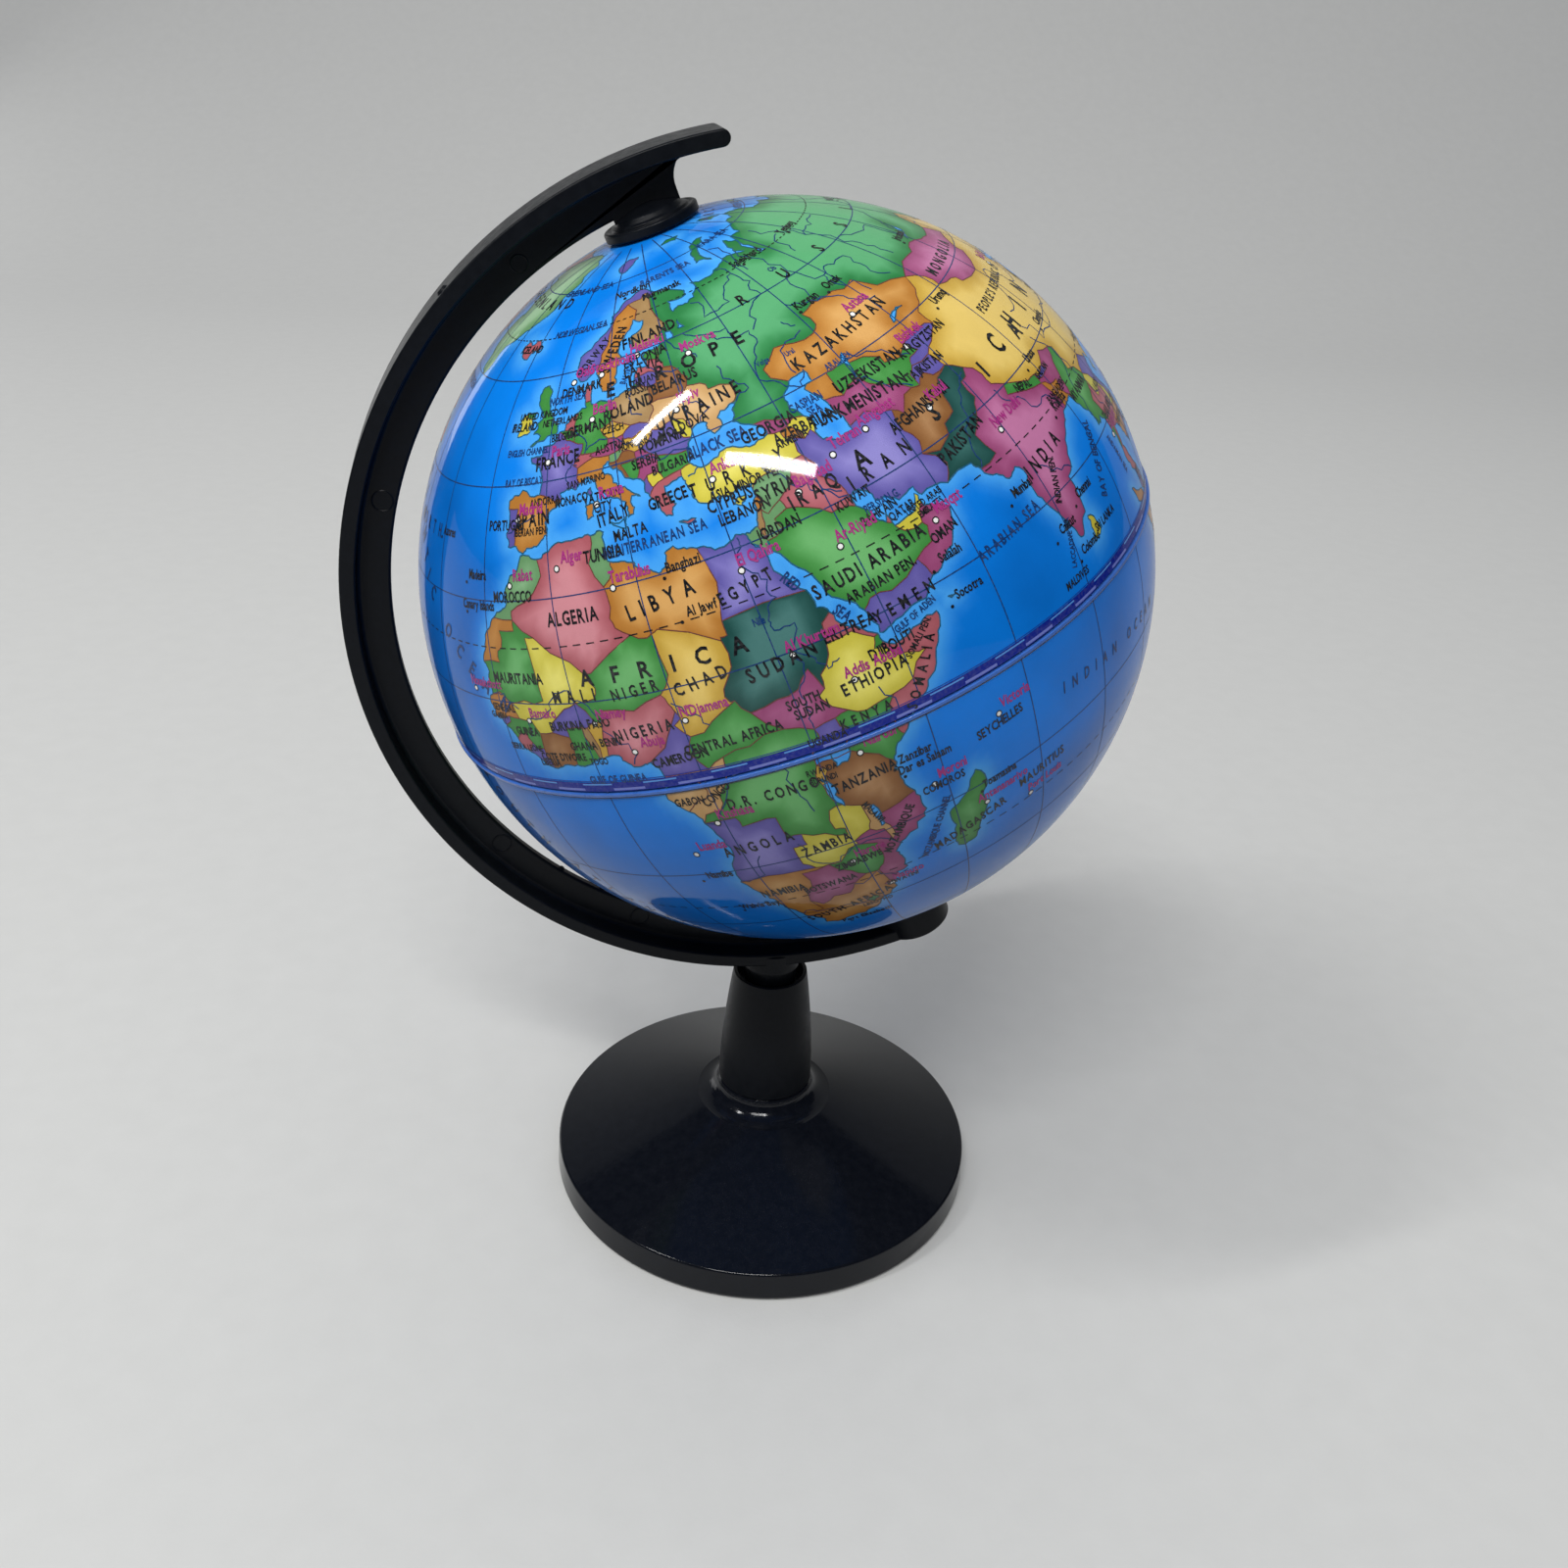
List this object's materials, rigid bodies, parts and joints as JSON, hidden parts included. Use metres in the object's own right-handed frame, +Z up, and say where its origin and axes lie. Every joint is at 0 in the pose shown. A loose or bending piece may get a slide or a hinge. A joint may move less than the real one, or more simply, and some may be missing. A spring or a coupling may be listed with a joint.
{
  "type": "desktop globe on stand",
  "caption": "Small political world globe turning on a tilted axis between the ends of a C-shaped black meridian arm, on a tapered stem and round conical base.",
  "frame": {"origin": "on the stem's axis, on the underside of the felt, where the globe stands on the table", "axes": "+Z up along the stem; the meridian arm lies in the XZ plane on the -X side and the north pole leans towards -X; -Y is the front"},
  "size_m": [0.1166, 0.1066, 0.1704],
  "materials": {
    "black_gloss": "polished black injection-moulded styrene",
    "black_satin": "satin black injection-moulded plastic",
    "printed_shell": "blown plastic shell with a printed political map under a clear gloss",
    "pale_ring": "pale blue semi-clear plastic",
    "white_nylon": "natural nylon",
    "charcoal_felt": "pressed felt",
    "zinc_steel": "bright zinc plate"
  },
  "bodies": {
    "stand": {"base_shell": "black_gloss", "base_cover": "black_satin", "felt_disc": "charcoal_felt", "stem_screw": "zinc_steel", "screw_washer": "zinc_steel", "stem": "black_satin"},
    "arm": {"meridian_arm": "black_satin"},
    "globe": {"north_hemisphere": "printed_shell", "south_hemisphere": "printed_shell", "equator_joining_ring": "pale_ring", "north_pole_bush": "white_nylon", "south_pole_bush": "white_nylon"}
  },
  "joints": [
    {"name": "arm_swivel", "type": "hinge", "parent": "stand", "child": "arm", "pos_m": [0, 0, 0.0395], "axis": [0, 0, 1], "continuous": true},
    {"name": "globe_spin", "type": "hinge", "parent": "arm", "child": "globe", "pos_m": [-0.00077, 0, 0.10915], "axis": [-0.3827, 0, 0.9239], "continuous": true}
  ]
}
